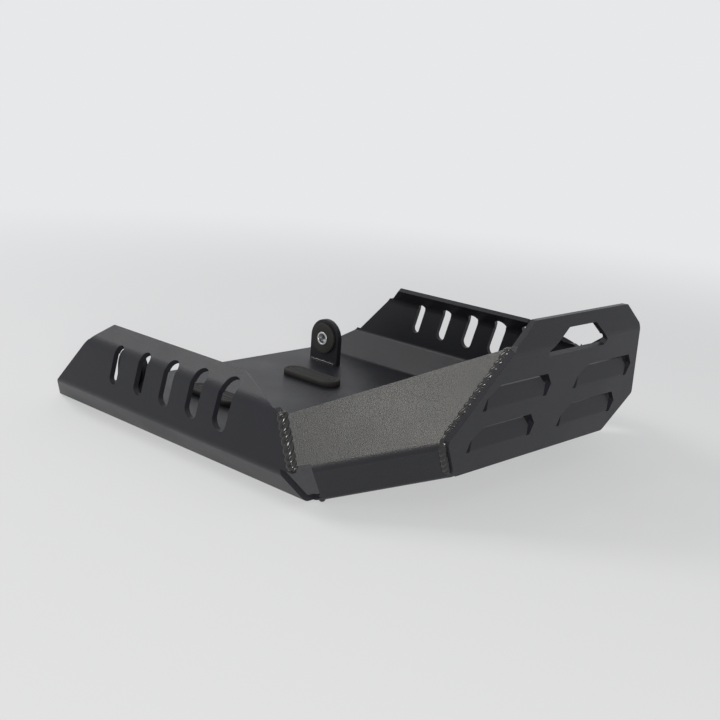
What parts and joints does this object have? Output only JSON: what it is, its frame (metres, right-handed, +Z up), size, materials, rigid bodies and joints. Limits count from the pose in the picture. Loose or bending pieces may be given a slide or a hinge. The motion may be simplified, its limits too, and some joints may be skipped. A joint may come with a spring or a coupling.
{
  "type": "motorcycle skid plate",
  "caption": "Folded and welded aluminium skid plate: slotted side walls, ramped nose with louvred front plate, rubber-mounted ears inside.",
  "frame": {"origin": "middle of the level floor, on its underside", "axes": "+X towards the motorcycle's front, +Y to its left, +Z up"},
  "size_m": [0.3734, 0.3286, 0.1246],
  "materials": {
    "powder_coat": "fine satin powder coat",
    "weld_bead": "powder coat over weld ripples",
    "black_rubber": "matt",
    "zinc_steel": "zinc plated"
  },
  "bodies": {
    "root": {"pan": "powder_coat", "front_plate": "powder_coat", "side_weld_left": "weld_bead", "corner_tack_left": "weld_bead", "edge_weld_left": "weld_bead", "rear_ear_left": "powder_coat", "rear_ear_weld_left": "weld_bead", "rear_grommet_left": "black_rubber", "rear_sleeve_left": "zinc_steel", "rear_pad_left": "black_rubber", "front_ear_left": "powder_coat", "front_ear_weld_left": "weld_bead", "front_grommet_left": "black_rubber", "front_sleeve_left": "zinc_steel", "front_pad_left": "black_rubber", "side_weld_right": "weld_bead", "corner_tack_right": "weld_bead", "edge_weld_right": "weld_bead", "rear_ear_right": "powder_coat", "rear_ear_weld_right": "weld_bead", "rear_grommet_right": "black_rubber", "rear_sleeve_right": "zinc_steel", "rear_pad_right": "black_rubber", "front_ear_right": "powder_coat", "front_ear_weld_right": "weld_bead", "front_grommet_right": "black_rubber", "front_sleeve_right": "zinc_steel", "front_pad_right": "black_rubber", "foot_weld": "weld_bead"}
  },
  "joints": []
}
